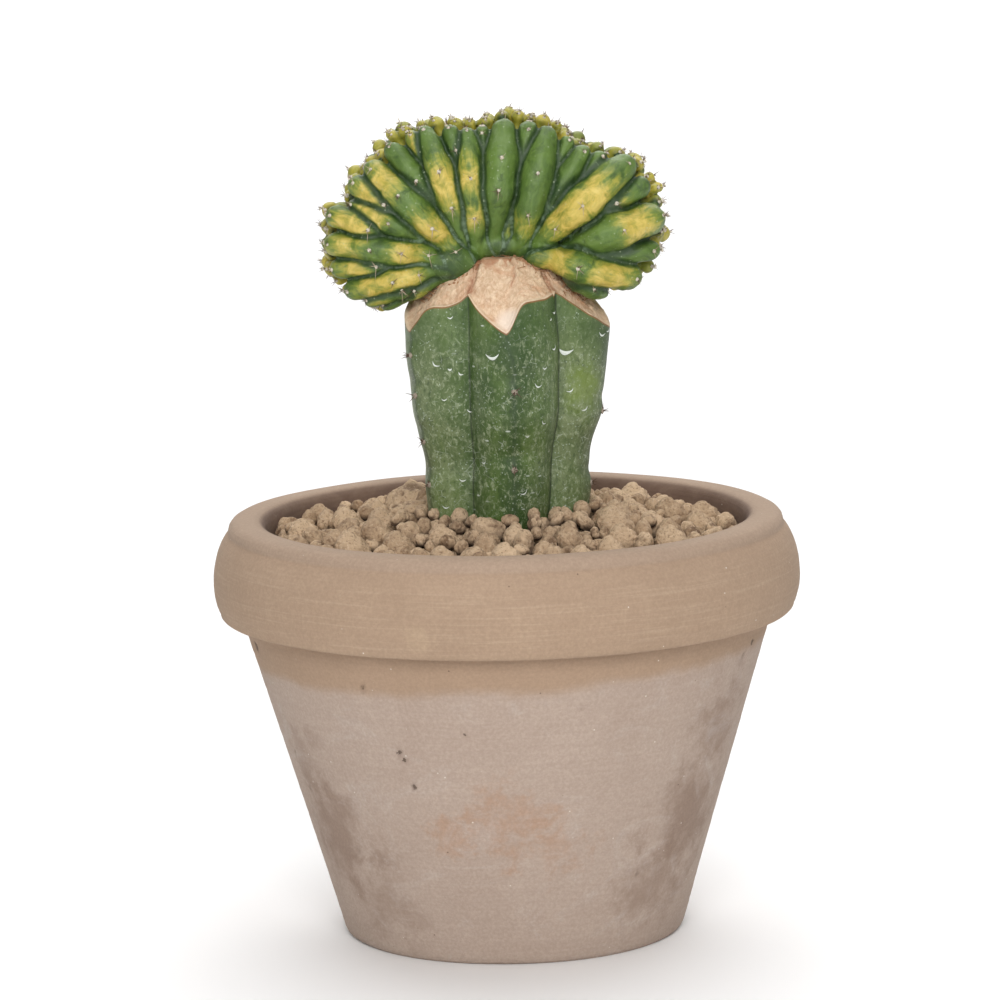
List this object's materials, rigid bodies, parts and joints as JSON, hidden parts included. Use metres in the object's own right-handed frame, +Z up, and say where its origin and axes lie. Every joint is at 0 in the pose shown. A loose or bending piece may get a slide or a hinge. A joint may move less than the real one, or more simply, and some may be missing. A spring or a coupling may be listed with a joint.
{
  "type": "grafted crested cactus in a clay pot",
  "caption": "Fan-shaped crested cactus grafted on a ribbed columnar rootstock, planted in a tapered clay pot with a rolled rim and a dressing of clay granules.",
  "frame": {"origin": "on the floor, on the pot's axis, at the centre of the flat foot", "axes": "+Z up along the pot's axis, -Y towards the front of the crest's fan, +X across the fan to the right"},
  "size_m": [0.1502, 0.1502, 0.2104],
  "materials": {
    "pot_clay": "unglazed matte fired clay with pale bloom and faint turning lines",
    "mix": "matte crumbly mineral potting mix",
    "stock_skin": null,
    "crest_skin": null,
    "granule": "matte porous expanded clay",
    "spine": null
  },
  "bodies": {
    "root": {"clay_pot": "pot_clay", "potting_mix": "mix", "rootstock": "stock_skin", "crest": "crest_skin", "granule_01": "granule", "granule_02": "granule", "granule_03": "granule", "granule_04": "granule", "granule_05": "granule", "granule_06": "granule", "granule_07": "granule", "granule_08": "granule", "granule_09": "granule", "granule_10": "granule", "granule_11": "granule", "granule_12": "granule", "granule_13": "granule", "granule_14": "granule", "granule_15": "granule", "granule_16": "granule", "granule_17": "granule", "granule_18": "granule", "granule_19": "granule", "granule_20": "granule", "granule_21": "granule", "granule_22": "granule", "granule_23": "granule", "granule_24": "granule", "granule_25": "granule", "granule_26": "granule", "granule_27": "granule", "granule_28": "granule", "granule_29": "granule", "granule_30": "granule", "granule_31": "granule", "granule_32": "granule", "granule_33": "granule", "granule_34": "granule", "granule_35": "granule", "granule_36": "granule", "granule_37": "granule", "granule_38": "granule", "granule_39": "granule", "granule_40": "granule", "granule_41": "granule", "granule_42": "granule", "granule_43": "granule", "granule_44": "granule", "granule_45": "granule", "granule_46": "granule"}
  },
  "joints": []
}
